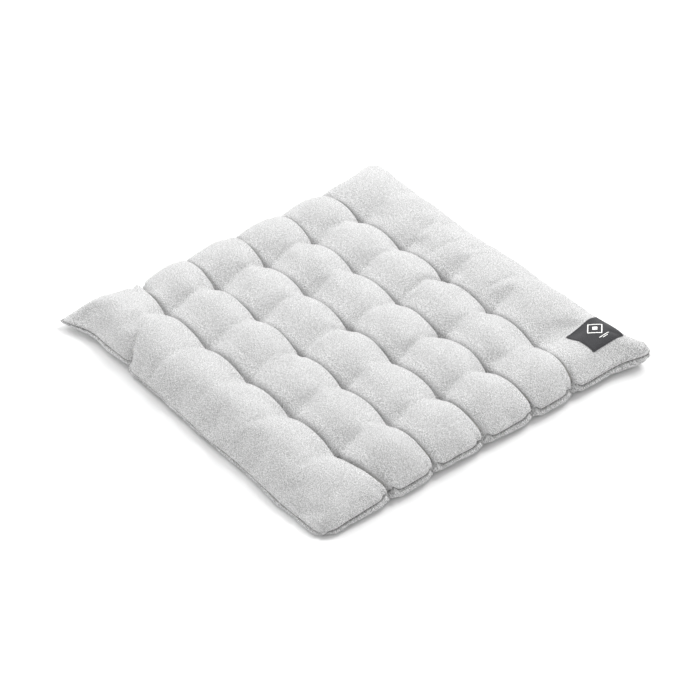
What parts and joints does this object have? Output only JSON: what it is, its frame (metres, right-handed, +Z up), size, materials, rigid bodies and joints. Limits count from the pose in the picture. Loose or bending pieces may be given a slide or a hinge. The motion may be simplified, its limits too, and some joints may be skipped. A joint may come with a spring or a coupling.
{
  "type": "chair seat pad",
  "caption": "Square tufted chair seat pad: two sewn fabric panels round soft wadding, drawn into pillowed ridges by thread ties, with a small woven label at one corner.",
  "frame": {"origin": "middle of the footprint, on the surface that the pad lies on", "axes": "+Z up through the thickness, +X along the channels, +Y across them; the label is near the +X +Y corner"},
  "size_m": [0.4, 0.4, 0.0411],
  "materials": {
    "cover_fabric": "matt woven melange",
    "wadding": "loose fibre",
    "sewing_thread": "soft sheen",
    "label_fabric": "matt fine weave",
    "label_thread": "soft sheen"
  },
  "bodies": {
    "root": {"bottom_cover": "cover_fabric", "top_cover": "cover_fabric", "wadding_core": "wadding", "edge_seam_thread": "sewing_thread", "closing_thread": "sewing_thread", "woven_label": "label_fabric", "label_stitching": "label_thread", "tuft_tie_1_1": "sewing_thread", "tuft_tie_1_2": "sewing_thread", "tuft_tie_1_3": "sewing_thread", "tuft_tie_1_4": "sewing_thread", "tuft_tie_1_5": "sewing_thread", "tuft_tie_2_1": "sewing_thread", "tuft_tie_2_2": "sewing_thread", "tuft_tie_2_3": "sewing_thread", "tuft_tie_2_4": "sewing_thread", "tuft_tie_2_5": "sewing_thread", "tuft_tie_3_1": "sewing_thread", "tuft_tie_3_2": "sewing_thread", "tuft_tie_3_3": "sewing_thread", "tuft_tie_3_4": "sewing_thread", "tuft_tie_3_5": "sewing_thread", "tuft_tie_4_1": "sewing_thread", "tuft_tie_4_2": "sewing_thread", "tuft_tie_4_3": "sewing_thread", "tuft_tie_4_4": "sewing_thread", "tuft_tie_4_5": "sewing_thread", "tuft_tie_5_1": "sewing_thread", "tuft_tie_5_2": "sewing_thread", "tuft_tie_5_3": "sewing_thread", "tuft_tie_5_4": "sewing_thread", "tuft_tie_5_5": "sewing_thread"}
  },
  "joints": []
}
